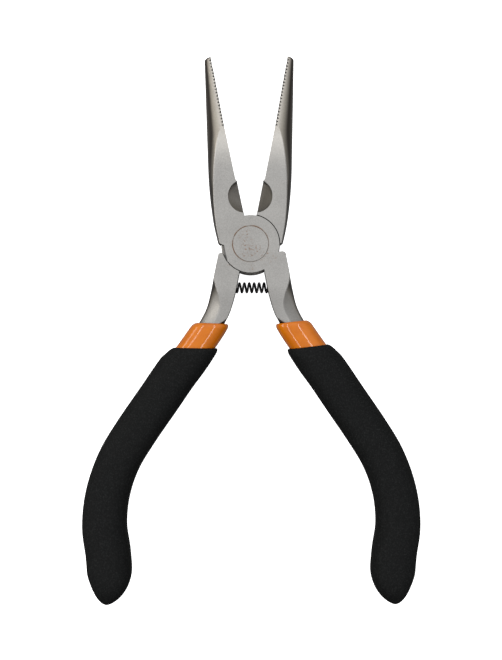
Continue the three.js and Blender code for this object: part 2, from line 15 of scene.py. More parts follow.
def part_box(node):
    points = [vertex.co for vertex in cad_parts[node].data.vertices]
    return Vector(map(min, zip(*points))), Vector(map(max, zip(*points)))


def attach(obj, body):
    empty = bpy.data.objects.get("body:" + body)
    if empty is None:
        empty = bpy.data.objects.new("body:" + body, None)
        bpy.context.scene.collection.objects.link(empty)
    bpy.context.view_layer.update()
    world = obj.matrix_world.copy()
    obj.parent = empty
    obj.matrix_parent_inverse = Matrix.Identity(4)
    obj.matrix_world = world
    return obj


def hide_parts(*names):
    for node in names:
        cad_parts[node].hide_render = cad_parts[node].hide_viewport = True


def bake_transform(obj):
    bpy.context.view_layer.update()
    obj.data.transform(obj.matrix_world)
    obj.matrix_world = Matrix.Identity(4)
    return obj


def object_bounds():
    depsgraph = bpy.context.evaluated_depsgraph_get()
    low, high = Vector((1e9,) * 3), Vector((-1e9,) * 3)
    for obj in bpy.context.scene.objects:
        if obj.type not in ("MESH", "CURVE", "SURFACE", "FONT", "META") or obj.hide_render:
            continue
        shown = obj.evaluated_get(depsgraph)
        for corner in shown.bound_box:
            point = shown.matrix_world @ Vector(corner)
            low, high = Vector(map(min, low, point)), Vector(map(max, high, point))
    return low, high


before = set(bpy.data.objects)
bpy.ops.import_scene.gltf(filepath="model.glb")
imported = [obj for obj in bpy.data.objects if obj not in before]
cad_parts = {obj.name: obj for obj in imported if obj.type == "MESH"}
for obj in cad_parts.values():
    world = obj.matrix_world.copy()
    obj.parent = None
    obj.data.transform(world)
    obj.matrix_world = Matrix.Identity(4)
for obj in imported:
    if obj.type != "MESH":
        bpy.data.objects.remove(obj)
cad_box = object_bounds()
print("CAD nodes:", sorted(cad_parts))

# %% [markdown]
# ## Sizes
# Everything is modelled in millimetres, which keeps small cuts well above rounding errors, and is
# brought to metres at the very end. A lever is modelled as if the pliers were shut, with its jaw
# against the plane x = 0, because its shape is simplest there. Two matrices then put the two
# levers where they rest.

# %% Sizes shared by the pieces
MM = 0.001
THICKNESS = (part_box("pivot_rivet")[1][2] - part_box("pivot_rivet")[0][2]) / MM
MIDDLE = THICKNESS / 2
FRONT_REST_ANGLE = 12.0
BACK_REST_ANGLE = 11.1
HANDLE_LEAN = 0.6  # the handles aren't quite alike, so each leans a little about this place
LEAN_ABOUT = (11.0, -33.0)
FRONT_BOSS = 6.5
FRONT_BOSS_FLAT = 5.93  # how far from the pivot the front boss is cut flat
BACK_BOSS = 6.75
SEAM = 0.2  # between a boss and the pocket it turns in
LAP = 0.1  # between the two halves of the joint
RIVET_HEAD = 4.05
RIVET_SHANK = 2.9
RIVET_HEAD_DEPTH = 1.3
RIVET_GAP = 0.08
RECESS_GAP = 0.04  # round the head and under it, where it is peened down into the lever
CUT_PAST = 1  # how far cutting shapes run past the faces that they cut

FRONT_PLACE = Matrix.Rotation(math.radians(FRONT_REST_ANGLE), 4, "Z")
TURNED_OVER = Matrix.Translation((0, 0, THICKNESS)) @ Matrix.Rotation(math.pi, 4, "Y")
BACK_PLACE = Matrix.Rotation(-math.radians(BACK_REST_ANGLE), 4, "Z") @ TURNED_OVER
HALVES = {
    "front": dict(place=FRONT_PLACE, body="front_half", boss=FRONT_BOSS, flat=FRONT_BOSS_FLAT,
                  other=BACK_BOSS, lean=-HANDLE_LEAN, rest=FRONT_REST_ANGLE, side="right",
                  dipped_shear=0.42, grip_shear=0.55),
    "back": dict(place=BACK_PLACE, body="back_half", boss=BACK_BOSS, flat=BACK_BOSS + 1,
                 other=FRONT_BOSS, lean=HANDLE_LEAN, rest=BACK_REST_ANGLE, side="left",
                 dipped_shear=0.52, grip_shear=0.7),
}
print("joint thickness", round(THICKNESS, 3), "mm")

# %% [markdown]
# ## Small tools for meshes
# A few helpers make every solid: a skin over rings of points, a plate cut from an outline, a
# cylinder, a turned shape, and a boolean that is made plain at once. Blender's Boolean modifier
# does the cutting that a machinist would do, and new_from_object turns its result into an ordinary
# mesh.

# %% Mesh helpers


def mix(a, b, t):
    return a + (b - a) * t


def ease(a, b, t):
    """Goes smoothly from 0 at a to 1 at b."""
    s = np.clip((np.asarray(t, float) - a) / (b - a), 0, 1)
    return s * s * (3 - 2 * s)


def new_object(name, points, faces):
    mesh = bpy.data.meshes.new(name)
    mesh.from_pydata([tuple(p) for p in points], [], faces)
    mesh.update()
    made = bpy.data.objects.new(name, mesh)
    bpy.context.scene.collection.objects.link(made)
    return made


def skin(name, rings):
    """A closed solid over rings of points, with a flat face over each end ring."""
    rings = np.asarray(rings, float)
    count, sides = rings.shape[:2]
    faces = []
    for ring in range(count - 1):
        for i in range(sides):
            j = (i + 1) % sides
            a, b = ring * sides, (ring + 1) * sides
            faces.append((a + i, a + j, b + j, b + i))
    faces.append(tuple(reversed(range(sides))))
    faces.append(tuple(range((count - 1) * sides, count * sides)))
    return new_object(name, rings.reshape(-1, 3), faces)


def plate(name, outline, low, high):
    """An anticlockwise outline carried from z = low to z = high."""
    return skin(name, [[(x, y, z) for x, y in outline] for z in (low, high)])


def arc(radius, start, end, steps, centre=(0, 0)):
    turns = np.radians(np.linspace(start, end, steps))
    return [(centre[0] + radius * math.cos(t), centre[1] + radius * math.sin(t)) for t in turns]


def cylinder(name, radius, low, high, sides=160):
    return plate(name, arc(radius, 0, 360, sides + 1)[:-1], low, high)


def turned(name, profile, sides=160):
    """A solid of revolution about Z, from a profile that starts and ends on the axis."""
    rings = [[(r * math.cos(t), r * math.sin(t), z)
              for t in np.linspace(0, 2 * math.pi, sides, endpoint=False)]
             for r, z in profile]
    return skin(name, rings)


def made_plain(obj):
    """Replaces an object's mesh by what its modifiers make of it, and drops the modifiers."""
    shown = obj.evaluated_get(bpy.context.evaluated_depsgraph_get())
    plain = bpy.data.meshes.new_from_object(shown)
    obj.modifiers.clear()
    obj.data = plain
    return obj


def boolean(obj, tool, operation="DIFFERENCE", keep_tool=False):
    cut = obj.modifiers.new("cut", "BOOLEAN")
    cut.operation = operation
    cut.solver = "MANIFOLD"
    cut.object = tool
    made_plain(obj)
    if not keep_tool:
        bpy.data.objects.remove(tool)
    return obj


# %% [markdown]
# ## Node trees written as sums
# Shader and geometry node trees are long lists of clicks when they are built by hand. One small
# class wraps an output socket, so that ordinary arithmetic in Python adds the Math nodes.

# %% A socket that can be added, multiplied and compared


class Wire:
    def __init__(self, tree, socket):
        self.tree = tree
        self.socket = socket

    def also(self, name):
        """Another output of the same node."""
        return Wire(self.tree, self.socket.node.outputs[name])

    def math(self, operation, *others, clamp=False):
        inputs = dict(enumerate((self, *others)))
        settings = {"operation": operation, "use_clamp": clamp}
        return self.tree.add("ShaderNodeMath", settings, inputs)

    def __add__(self, other):
        return self.math("ADD", other)

    def __sub__(self, other):
        return self.math("SUBTRACT", other)

    def __mul__(self, other):
        return self.math("MULTIPLY", other)

    def __truediv__(self, other):
        return self.math("DIVIDE", other)

    def __rsub__(self, other):
        return self.tree.number(other, "SUBTRACT", self)

    def __rtruediv__(self, other):
        return self.tree.number(other, "DIVIDE", self)

    def __neg__(self):
        return self.math("MULTIPLY", -1.0)

    def __abs__(self):
        return self.math("ABSOLUTE")

    def __pow__(self, other):
        return self.math("POWER", other)

    __radd__ = __add__
    __rmul__ = __mul__

    def smooth(self, low, high):
        """0 below low, 1 above high, and eased in between."""
        inputs = {"Value": self, "From Min": low, "From Max": high}
        return self.tree.add("ShaderNodeMapRange", {"interpolation_type": "SMOOTHSTEP"}, inputs)


class Tree:
    def __init__(self, tree):
        self.tree = tree

    def add(self, kind, settings=None, inputs=None, out=0):
        """Adds a node, sets it up, feeds its sockets, and gives one of its outputs."""
        node = self.tree.nodes.new(kind)
        for key, value in (settings or {}).items():
            setattr(node, key, value)
        for key, value in (inputs or {}).items():
            if isinstance(value, Wire):
                self.tree.links.new(value.socket, node.inputs[key])
            else:
                node.inputs[key].default_value = value
        return Wire(self, node.outputs[out])

    def number(self, value, operation, other):
        return self.add("ShaderNodeMath", {"operation": operation}, {0: value, 1: other})

    def blend(self, share, a, b):
        """One colour turning into another as share goes from 0 to 1."""
        return self.add("ShaderNodeMix", {"data_type": "RGBA"}, {0: share, 6: a, 7: b}, out=2)

    def ramp(self, share, stops):
        """A colour ramp: each stop is (place, colour)."""
        made = self.add("ShaderNodeValToRGB", None, {0: share}, out="Color")
        elements = made.socket.node.color_ramp.elements
        while len(elements) < len(stops):
            elements.new(1.0)
        for element, (place, colour) in zip(elements, stops):
            element.position, element.color = place, colour
        return made

    def split(self, vector):
        parts = self.add("ShaderNodeSeparateXYZ", None, {0: vector})
        return parts, parts.also("Y"), parts.also("Z")

    def noise(self, at, size_mm, detail=2.0, roughness=0.5, out="Fac"):
        inputs = {"Vector": at, "Scale": 1 / (size_mm * MM), "Detail": detail,
                  "Roughness": roughness}
        return self.add("ShaderNodeTexNoise", None, inputs, out)


def surface(name, build):
    """A material whose Principled sockets are fed by what build(tree, at) gives back."""
    material = bpy.data.materials.new(name)
    material.use_nodes = True
    tree = Tree(material.node_tree)
    principled = material.node_tree.nodes["Principled BSDF"]
    at = tree.add("ShaderNodeTexCoord", out="Object")
    for key, value in build(tree, at).items():
        if isinstance(value, Wire):
            material.node_tree.links.new(value.socket, principled.inputs[key])
        else:
            principled.inputs[key].default_value = value
    return material


# %% [markdown]
# ## Steel
# The flats of the levers are ground and satin, with a fine grain. The forged sides are not ground,
# so they are darker and browner, and painted shade darkens the rounded sides further, with a painted
# highlight along the rounded edges. The colour between them comes from how far the surface faces up
# or down, which doesn't change as the levers swing about the upright pivot. Towards the tips the
# ramp is shifted, so the outer half of each rounded nose is dark, and the steel there is painted
# brighter. On a real tool much of that is reflection, so this is a painted stand-in for it. A little
# rust has started round the rivet.

# %% Steel
# Colours from a surface that faces sideways (0) to one that faces straight up or down (1). They are
# partly the darker forged sides and the lighter ground flats, and partly painted light: the dip near
# 0.32 is painted shade on the rounded sides, and the peak near 0.68 is a painted highlight on the
# rounded edges and noses.
PAINTED_SHADE_AND_FINISH_BY_FACING = [(0.0, (0.085, 0.078, 0.068, 1)), (0.16, (0.045, 0.040, 0.034, 1)),
             (0.32, (0.022, 0.018, 0.014, 1)), (0.40, (0.030, 0.025, 0.020, 1)),
             (0.58, (0.24, 0.223, 0.195, 1)), (0.68, (0.345, 0.333, 0.313, 1)),
             (0.95, (0.258, 0.253, 0.244, 1))]
RUST = (0.17, 0.088, 0.042, 1)
# Each spot is (x, y, radius) in millimetres from the pivot.
RUST_SPOTS = [(-1.2, 2.1, 1.3), (-0.9, 0.0, 1.3), (-0.5, -1.6, 1.5), (1.3, -1.4, 1.0),
              (3.5, -3.1, 1.2), (5.5, -3.2, 0.6), (-4.6, -4.7, 0.5), (0.3, -5.4, 0.6)]
# The nose shift is painted shade on the outer half of each nose, and the nose gain is a painted
# highlight that brightens the steel towards the tips.
NOSE_PAINTED_SHADE_SHIFT = 0.36  # how much steeper a nose must face up before it turns bright
NOSE_PAINTED_HIGHLIGHT = 0.22  # how much brighter the steel is there


def bump(tree, height, distance_mm, strength=1.0):
    inputs = {"Height": height, "Distance": distance_mm * MM, "Strength": strength}
    return tree.add("ShaderNodeBump", None, inputs)


def steel(tree, at):
    normal = tree.add("ShaderNodeNewGeometry", out="Normal")
    x, y, _ = tree.split(at)
    toward_tip = y.smooth(14.0 * MM, 27.0 * MM)
    # Painted shade and highlight: the steel is coloured by how far it faces up, shifted towards the
    # tips.
    upward = abs(tree.split(normal)[2]) - toward_tip * NOSE_PAINTED_SHADE_SHIFT
    shade = tree.ramp(upward, PAINTED_SHADE_AND_FINISH_BY_FACING)
    grain = tree.noise(at, 0.3, detail=3.0, roughness=0.75)
    cloud = tree.noise(at, 6.0, detail=3.0)
    specks = tree.noise(at, 0.5, detail=4.0, roughness=0.8).smooth(0.54, 0.63)
    near = 0.0
    for spot_x, spot_y, radius in RUST_SPOTS:
        across = (x - spot_x * MM) / (radius * MM)
        along = (y - spot_y * MM) / (radius * MM)
        near = (1 - (across * across + along * along) * 0.4).math("MAXIMUM", near)
    rust = specks * near.smooth(0.0, 1.0) * 0.85
    from_pivot = (x * x + y * y).math("SQRT") / MM
    ring = 1 - abs(from_pivot - (RIVET_HEAD + 0.04)).smooth(0.02, 0.22)
    patchy = tree.noise(at, 2.0).smooth(0.25, 0.6) * (0.7 - (x - y) * 75.0)
    rust = rust.math("MAXIMUM", ring * patchy)
    # Grain and cloud vary the tone at random; towards the tips the steel is painted brighter, a
    # painted highlight. The facing colours, painted shade and highlight included, are then scaled by
    # this.
    grain_and_painted_brightening = (grain - 0.5) * 0.7 + (cloud - 0.5) * 0.3 + toward_tip * NOSE_PAINTED_HIGHLIGHT
    finish_and_painted_shade = tree.add("ShaderNodeVectorMath", {"operation": "SCALE"}, {0: shade, "Scale": grain_and_painted_brightening + 1.0})
    return {
        "Base Color": tree.blend(rust, finish_and_painted_shade, RUST),
        "Metallic": 0.65 - rust * 0.6,
        "Roughness": 0.44 + (grain - 0.5) * 0.2 + rust * 0.4,
        "Normal": bump(tree, grain, 0.012),
    }


steel_finish = surface("satin_forged_steel", steel)

# %% [markdown]
# ## Black spring wire, dipped vinyl and foam
# The wire is oiled black. The vinyl is dipped, so it is glossy and runs a little uneven, which
# makes its highlights waver. The foam is matt, and its skin is full of tiny cells: some catch the
# light, so fine pale specks lie all over it. The foam is paler in blotches at random, and its
# upward-facing top is painted paler still, a painted sheen where the light falls on it.

# %% Spring wire, vinyl and foam


def spring_wire(tree, at):
    grain = tree.noise(at, 0.2, detail=2.0)
    return {
        "Base Color": (0.010, 0.010, 0.011, 1),
        "Metallic": 0.5,
        "Roughness": 0.3 + grain * 0.2,
    }


def dipped_vinyl(tree, at):
    runs = tree.noise(at, 2.2, detail=1.0)
    dust = tree.noise(at, 0.22, detail=2.0, roughness=0.6)
    pale, deep = (0.53, 0.140, 0.001, 1), (0.47, 0.116, 0.001, 1)
    return {
        "Base Color": tree.blend(tree.noise(at, 3.0).smooth(0.35, 0.65), pale, deep),
        "Roughness": 0.08 + dust.smooth(0.62, 0.72) * 0.06,
        "Specular IOR Level": 0.42,
        "Normal": bump(tree, runs + dust * 0.02, 0.012),
    }


def foam_rubber(tree, at):
    cells = tree.add("ShaderNodeTexVoronoi", None, {"Vector": at, "Scale": 1 / (0.34 * MM)}, 0)
    grit = tree.noise(at, 0.3, detail=3.0, roughness=0.8)
    specks = (1 - cells.smooth(0.12, 0.42)) * 0.3 + grit.smooth(0.5, 0.66) * 0.7
    # Painted sheen: the upward-facing top of the foam is painted paler.
    upward = abs(tree.split(tree.add("ShaderNodeNewGeometry", out="Normal"))[2])
    blotches_and_top_sheen = tree.noise(at, 4.0, detail=3.0) * 0.4 + upward * 0.5
    dark, pale_blotch_and_top_sheen = (0.0006, 0.0008, 0.0008, 1), (0.0026, 0.0030, 0.0031, 1)
    fleck = (0.020, 0.021, 0.021, 1)
    body = tree.blend(blotches_and_top_sheen.smooth(0.35, 0.75), dark, pale_blotch_and_top_sheen)
    return {
        "Base Color": tree.blend(specks * 0.8, body, fleck),
        "Roughness": 0.7 + grit * 0.2,
        "Specular IOR Level": 0.14,
        "Normal": bump(tree, grit + cells * 0.6, 0.06, 0.7),
    }


wire_finish = surface("black_spring_wire", spring_wire)
vinyl_finish = surface("orange_dipped_vinyl", dipped_vinyl)
foam_finish = surface("black_foam_rubber", foam_rubber)
print("finishes:", [m.name for m in bpy.data.materials])

# %% [markdown]
# ## The handle's middle line
# Handle, vinyl and foam all follow one curve, so it is worked out once. It is a smooth curve
# through a few points, measured off by its length from the joint.

# %% The handle's middle line
SHANK_X = 4.35
SHANK_WIDTH = 5.6
HANDLE_LINE = np.array([
    (SHANK_X, -1.5), (SHANK_X, -7), (SHANK_X, -12.5), (4.7, -16.5), (5.85, -20.5), (8.4, -26.5),
    (11.15, -32.3), (13.75, -38.5), (17.5, -47.4), (19.65, -53.4), (20.7, -59), (20.85, -64.5),
    (20, -70.3), (18.05, -75.8), (16.55, -81.5), (16.1, -87.6),
])


def smooth_line(points, steps=120):
    """Centripetal Catmull-Rom spline through the points."""
    ends = [2 * points[0] - points[1], *points, 2 * points[-1] - points[-2]]
    out = []
    for p0, p1, p2, p3 in zip(ends, ends[1:], ends[2:], ends[3:]):
        d0, d1, d2 = (np.linalg.norm(b - a) ** 0.5 for a, b in ((p0, p1), (p1, p2), (p2, p3)))
        m1 = ((p1 - p0) / d0 - (p2 - p0) / (d0 + d1) + (p2 - p1) / d1) * d1
        m2 = ((p2 - p1) / d1 - (p3 - p1) / (d1 + d2) + (p3 - p2) / d2) * d1
        t = np.linspace(0, 1, steps, endpoint=False)[:, None]
        out.append(p1 + m1 * t + (3 * (p2 - p1) - 2 * m1 - m2) * t**2
                   + (2 * (p1 - p2) + m1 + m2) * t**3)
    return np.vstack([*out, points[-1:]])


LINE = smooth_line(HANDLE_LINE)
LINE_AT = np.concatenate([[0], np.cumsum(np.linalg.norm(np.diff(LINE, axis=0), axis=1))])
HANDLE_LENGTH = LINE_AT[-1]


def on_line(along):
    """Centre, direction and outward side of the handle at a distance from its start."""
    along = min(max(along, 0), HANDLE_LENGTH)
    here = np.array([np.interp(along, LINE_AT, LINE[:, i]) for i in (0, 1)])
    back, ahead = max(along - 0.3, 0), min(along + 0.3, HANDLE_LENGTH)
    run = np.array([np.interp(ahead, LINE_AT, LINE[:, i]) - np.interp(back, LINE_AT, LINE[:, i])
                    for i in (0, 1)])
    forward = run / np.linalg.norm(run)
    return here, forward, np.array([-forward[1], forward[0]])


def lean_matrix(half):
    x, y = LEAN_ABOUT
    turn = Matrix.Rotation(math.radians(half["lean"]), 4, "Z")
    return Matrix.Translation((x, y, 0)) @ turn @ Matrix.Translation((-x, -y, 0))


print("handle length", round(HANDLE_LENGTH, 2), "mm")

# %% [markdown]
# ## The levers
# A real lever is drop forged, then its flats are ground, then the joint, the cutter and the teeth
# are machined. The same order works here: a skin over forged sections gives the jaw and the
# handle, and booleans make the machined places. The sections bulge at the sides, where the dies
# part, and they roll into a round, tapered nose beyond the ground flat.

# %% Forged sections
SIDE_STEPS = 18
EDGE_EASING = 0.22  # how round the forged sides' edges are at most
LEAST_EASING = 0.05
EASING_SHARE = 0.4  # of how far the side bulges
LEAST_CROWN = 1.001


def bulge(crown):
    """How much of a crowned side's half width lies beyond the edge of the flat."""
    return 1 - math.sqrt(1 - 1 / crown**2)


def bulged_side(edge, outward, reach, half_thickness, crown):
    """One side of a section, from its bottom edge to its top edge, bulging out by reach."""
    z = np.sin(np.linspace(-0.5, 0.5, SIDE_STEPS + 1) * math.pi)
    drawn_in = (1 - np.sqrt(1 - (z / crown) ** 2)) / bulge(crown)
    return np.stack([edge + outward * reach * (1 - drawn_in), z * half_thickness], axis=1)


def eased_end(side, inward, radius, steps=4):
    """Replaces a side's last point by a small rounding from the side onto the flat."""
    corner, before = side[-1], side[-2]
    run = (before - corner) / np.linalg.norm(before - corner)
    starts, ends = corner + run * radius, corner + np.array([inward * radius, 0])
    t = np.linspace(0, 1, steps + 1)[:, None]
    bend = starts * (1 - t) ** 2 + corner * 2 * t * (1 - t) + ends * t**2
    kept = side[:-1][np.linalg.norm(side[:-1] - corner, axis=1) > radius * 1.02]
    missing = len(side) - 1 - len(kept)
    filler = np.linspace(kept[-1], starts, missing + 2)[1:-1]
    return np.vstack([kept, filler, bend])


def forged_section(low, high, low_reach, high_reach, half_thickness, crown):
    """A section's outline. Where a side meets a flat its corner is eased, more where it bulges."""
    sides = []
    for edge, outward, reach in ((high - high_reach, 1, high_reach), (low + low_reach, -1, low_reach)):
        side = bulged_side(edge, outward, reach, half_thickness, max(crown, LEAST_CROWN))
        radius = min(LEAST_EASING + reach * EASING_SHARE, EDGE_EASING)
        side = eased_end(side, -outward, radius)
        sides.append(eased_end(side[::-1], -outward, radius)[::-1])
    right, left = sides
    return np.vstack([right, left[::-1]])


# %% Jaw
JAW_LENGTH = 44.0
TIP_WIDTH = 1.5
TAPER = 0.178
BASE_WIDTH = 7.4
BASE_NARROWING = 0.2
TIP_THICKNESS = 2.6
GROUND_LENGTH = 27.2
LEAST_FLAT = 0.12
CROWN_GROWTH = 0.0018
TIP_CORNER = 0.55
BITE_GAP = 0.03
BITE_RELIEF = 0.3
BITE_STEP = 0.5  # the length over which the bite face steps back
BITE_MEETS = (26.0, 14.0)  # where it starts to come forward again, and over what length
CUTTER_MIDDLE = 10.85
CUTTER_END = CUTTER_MIDDLE + 3.65
SHOULDER_Y = 2.0
BASE_ROUNDING = 1.5  # how softly the taper turns into the parallel base
TIP_FACE_ROUNDING = 0.6  # share of the tip's corner that the front and back are rounded by


def jaw_width(y):
    tapered = TIP_WIDTH + TAPER * (JAW_LENGTH - y)
    h = np.clip(0.5 + (BASE_WIDTH - tapered) / (2 * BASE_ROUNDING), 0, 1)
    full = mix(BASE_WIDTH, tapered, h) - BASE_ROUNDING * h * (1 - h)
    return full - BASE_NARROWING * (1 - ease(SHOULDER_Y - 2, SHOULDER_Y + 5, y))


def bite_relief(y):
    beyond = np.clip((y - CUTTER_END) / BITE_STEP, 0, 1)
    forward = np.clip((y - BITE_MEETS[0]) / BITE_MEETS[1], 0, 1)
    return BITE_GAP + BITE_RELIEF * beyond * (1 - forward)


def jaw_section(y):
    width = jaw_width(y)
    behind_nose = GROUND_LENGTH - y
    nose_slope = (1 - TIP_THICKNESS / THICKNESS) / (JAW_LENGTH - GROUND_LENGTH)
    crown = 1 + nose_slope * behind_nose + CROWN_GROWTH * max(0, behind_nose) ** 2
    over = max(0, y - (JAW_LENGTH - TIP_CORNER)) / TIP_CORNER
    corner = TIP_CORNER * (1 - math.sqrt(max(0, 1 - over**2)))
    reach = (width - corner - bite_relief(y) - LEAST_FLAT) * bulge(max(crown, LEAST_CROWN))
    half = THICKNESS / 2 * min(crown, 1) - corner * TIP_FACE_ROUNDING
    return forged_section(-width + corner, -bite_relief(y), reach, 0, half, crown)


def jaw():
    ys = np.concatenate([np.arange(0, 14.4, 0.8), [CUTTER_END, CUTTER_END + BITE_STEP],
                         np.arange(15.4, GROUND_LENGTH - 1.2, 0.5),
                         GROUND_LENGTH - np.array([1.1, 0.7, 0.4, 0.2, 0.08, 0]),
                         np.arange(GROUND_LENGTH + 0.5, JAW_LENGTH - TIP_CORNER - 0.1, 0.6),
                         JAW_LENGTH - TIP_CORNER * np.array([1, 0.75, 0.5, 0.3, 0.15, 0.05, 0])])
    rings = [[(x, y, MIDDLE + z) for x, z in jaw_section(y)] for y in ys[::-1]]
    return skin("jaw", rings)


# %% Shank and tang
SLEEVE_START = 17.9
TANG_WIDTH = 5.2
TANG_THICKNESS = 5.6
TANG_END_WIDTH = 4.2
TANG_END = HANDLE_LENGTH - 9  # the steel stops short of the grip's tip
SHANK_CROWN = 1.6
LEAST_ROLL = 0.15
OUTER_ROLL, INNER_ROLL = 0.57, 0.42  # shares of the width that each side bulges by at last
SLIMMING, OUTER_ROLLING = (-9, 0), (-11, -3.5)  # measured from the vinyl's mouth
INNER_ROLLING, CROWN_ROLLING = (-2.7, 1.3), (-1, 4)


def from_mouth(span, along):
    """Goes from 0 to 1 over a span that is measured from the vinyl's mouth."""
    return ease(SLEEVE_START + span[0], SLEEVE_START + span[1], along)


def tang_section(along):
    slimming = from_mouth(SLIMMING, along)
    ending = np.clip((along - SLEEVE_START) / (HANDLE_LENGTH - SLEEVE_START), 0, 1)
    width = mix(SHANK_WIDTH, mix(TANG_WIDTH, TANG_END_WIDTH, ending), slimming)
    inner = width * INNER_ROLL * from_mouth(INNER_ROLLING, along)
    outer = mix(LEAST_ROLL, width * OUTER_ROLL, from_mouth(OUTER_ROLLING, along))
    half_thickness = mix(THICKNESS, TANG_THICKNESS, slimming) / 2
    crown = mix(SHANK_CROWN, 1, from_mouth(CROWN_ROLLING, along))
    return forged_section(-width / 2, width / 2, inner, outer, half_thickness, crown)


def across_handle(along, section, shear=0.0):
    here, forward, outward = on_line(along)
    return [(*(here + (outward + forward * shear) * x), MIDDLE + z) for x, z in section]


def tang():
    alongs = np.concatenate([np.arange(0, SLEEVE_START + 3, 0.7),
                             np.linspace(SLEEVE_START + 3.5, TANG_END, 40)])
    return skin("tang", [across_handle(a, tang_section(a)) for a in alongs])


# %% [markdown]
# The teeth are a row of V grooves, so Geometry Nodes lay them out: a line of points along the bite
# face, pushed back to follow its slight hollow, with a groove cutter on each.

# %% Teeth cutters from Geometry Nodes
TOOTH_PITCH = 0.78
TOOTH_DEPTH = 0.6
TOOTH_COUNT = 21
TOOTH_TIP_MARGIN = 0.5
TOOTH_OPENING = 0.88  # share of the pitch that a groove takes up
TOOTH_FIRST = JAW_LENGTH - TOOTH_TIP_MARGIN - (TOOTH_COUNT - 0.5) * TOOTH_PITCH


def node_group(name, inputs):
    """An empty geometry tree with named inputs, its wires for them, and its output node."""
    group = bpy.data.node_groups.new(name, "GeometryNodeTree")
    group.interface.new_socket("Geometry", in_out="INPUT", socket_type="NodeSocketGeometry")
    for key, kind in inputs.items():
        group.interface.new_socket(key, in_out="INPUT", socket_type="NodeSocket" + kind)
    group.interface.new_socket("Geometry", in_out="OUTPUT", socket_type="NodeSocketGeometry")
    tree = Tree(group)
    start = tree.add("NodeGroupInput")
    wires = {key: start.also(key) for key in ("Geometry", *inputs)}
    return group, tree, wires


def finish_group(tree, geometry, material):
    real = tree.add("GeometryNodeRealizeInstances", None, {0: geometry})
    coated = tree.add("GeometryNodeSetMaterial", None, {"Geometry": real, "Material": material})
    end = tree.tree.nodes.new("NodeGroupOutput")
    tree.tree.links.new(coated.socket, end.inputs[0])


def grown(name, group, values, mesh=None):
    """A new object made by a geometry tree, as a plain mesh."""
    made = bpy.data.objects.new(name, mesh or bpy.data.meshes.new(name))
    bpy.context.scene.collection.objects.link(made)
    modifier = made.modifiers.new(name, "NODES")
    modifier.node_group = group
    for item in group.interface.items_tree:
        if item.item_type == "SOCKET" and item.in_out == "INPUT" and item.name in values:
            modifier[item.identifier] = values[item.name]
    return made_plain(made)


def tooth_tree():
    group, tree, given = node_group("tooth_grooves", {
        "Count": "Int", "Pitch": "Float", "Depth": "Float", "First": "Float", "Length": "Float",
        "Material": "Material"})
    step = tree.add("ShaderNodeCombineXYZ", None, {1: given["Pitch"]})
    start = tree.add("ShaderNodeCombineXYZ", None, {1: given["First"]})
    line = tree.add("GeometryNodeMeshLine", None,
                    {"Count": given["Count"], "Start Location": start, "Offset": step})
    y = tree.split(tree.add("GeometryNodeInputPosition"))[1]
    forward = ((y - BITE_MEETS[0]) / BITE_MEETS[1]).math("ADD", 0.0, clamp=True)
    hollow = (1 - forward) * BITE_RELIEF + BITE_GAP
    back = tree.add("ShaderNodeCombineXYZ", None, {0: -hollow})
    line = tree.add("GeometryNodeSetPosition", None, {"Geometry": line, "Offset": back})
    cone = {"Vertices": 4, "Radius Top": 1.0, "Radius Bottom": 1.0, "Depth": given["Length"]}
    cutter = tree.add("GeometryNodeMeshCone", None, cone)
    size = tree.add("ShaderNodeCombineXYZ", None,
                    {0: given["Depth"], 1: given["Pitch"] * (TOOTH_OPENING / 2), 2: 1.0})
    laid = tree.add("GeometryNodeInstanceOnPoints", None,
                    {"Points": line, "Instance": cutter, "Scale": size})
    finish_group(tree, laid, given["Material"])
    return group


teeth = grown("teeth", tooth_tree(), {
    "Count": TOOTH_COUNT, "Pitch": TOOTH_PITCH, "Depth": TOOTH_DEPTH, "First": TOOTH_FIRST,
    "Length": THICKNESS + 2 * CUT_PAST, "Material": steel_finish})
# A cone stands on its origin, so the row is lowered until it runs past both flats.
teeth.data.transform(Matrix.Translation((0, 0, -CUT_PAST)))
print("tooth cutter faces:", len(teeth.data.polygons))

# %% Machined places
SPRING_Y = -9.8
SPRING_RADIUS = 1.06
SPRING_WIRE = 0.5
SOCKET_DEPTH = 1.6
SOCKET_GAP = 0.18
SHANK_INNER = SHANK_X - SHANK_WIDTH / 2
SHOULDER_SLOPE = 0.75
SHANK_TOP = -3.15
SHANK_CORNER = 1.0
SCOOP_RADIUS = 3.8
SCOOP_OFFSET = 0.95  # the scoop's centre lies beyond the bite face
BEVEL_REACH = 3.1  # how far the cutter's bevel runs back over the flat
CUTTER_LAND = 0.12  # half the width of the cutting edge


def below_jaw_shoulder():
    shoulder = [(x, SHOULDER_Y - SHOULDER_SLOPE * (x + BASE_WIDTH)) for x in (-20, 10)]
    outline = [shoulder[0], (-20, -30), (10, -30), shoulder[1]]
    return plate("below_shoulder", outline, -CUT_PAST, THICKNESS + CUT_PAST)


def above_shank_shoulder():
    outer, corner_y = SHANK_X + SHANK_WIDTH / 2, SHANK_TOP - SHANK_CORNER
    rounded = arc(SHANK_CORNER, 90, 0, 14, centre=(outer - SHANK_CORNER, corner_y))
    outline = [(SHANK_INNER - CUT_PAST, CUT_PAST), (SHANK_INNER - CUT_PAST, SHANK_TOP), *rounded,
               (outer + CUT_PAST, corner_y), (outer + CUT_PAST, CUT_PAST)]
    return plate("above_shoulder", outline, -CUT_PAST, THICKNESS + CUT_PAST)


def socket_floor(half):
    leaned = SHANK_INNER - math.tan(math.radians(half["lean"])) * (SPRING_Y - LEAN_ABOUT[1])
    tilt = math.radians(half["rest"] + half["lean"])
    return leaned / math.cos(tilt) - SPRING_Y * math.tan(tilt) + SOCKET_DEPTH


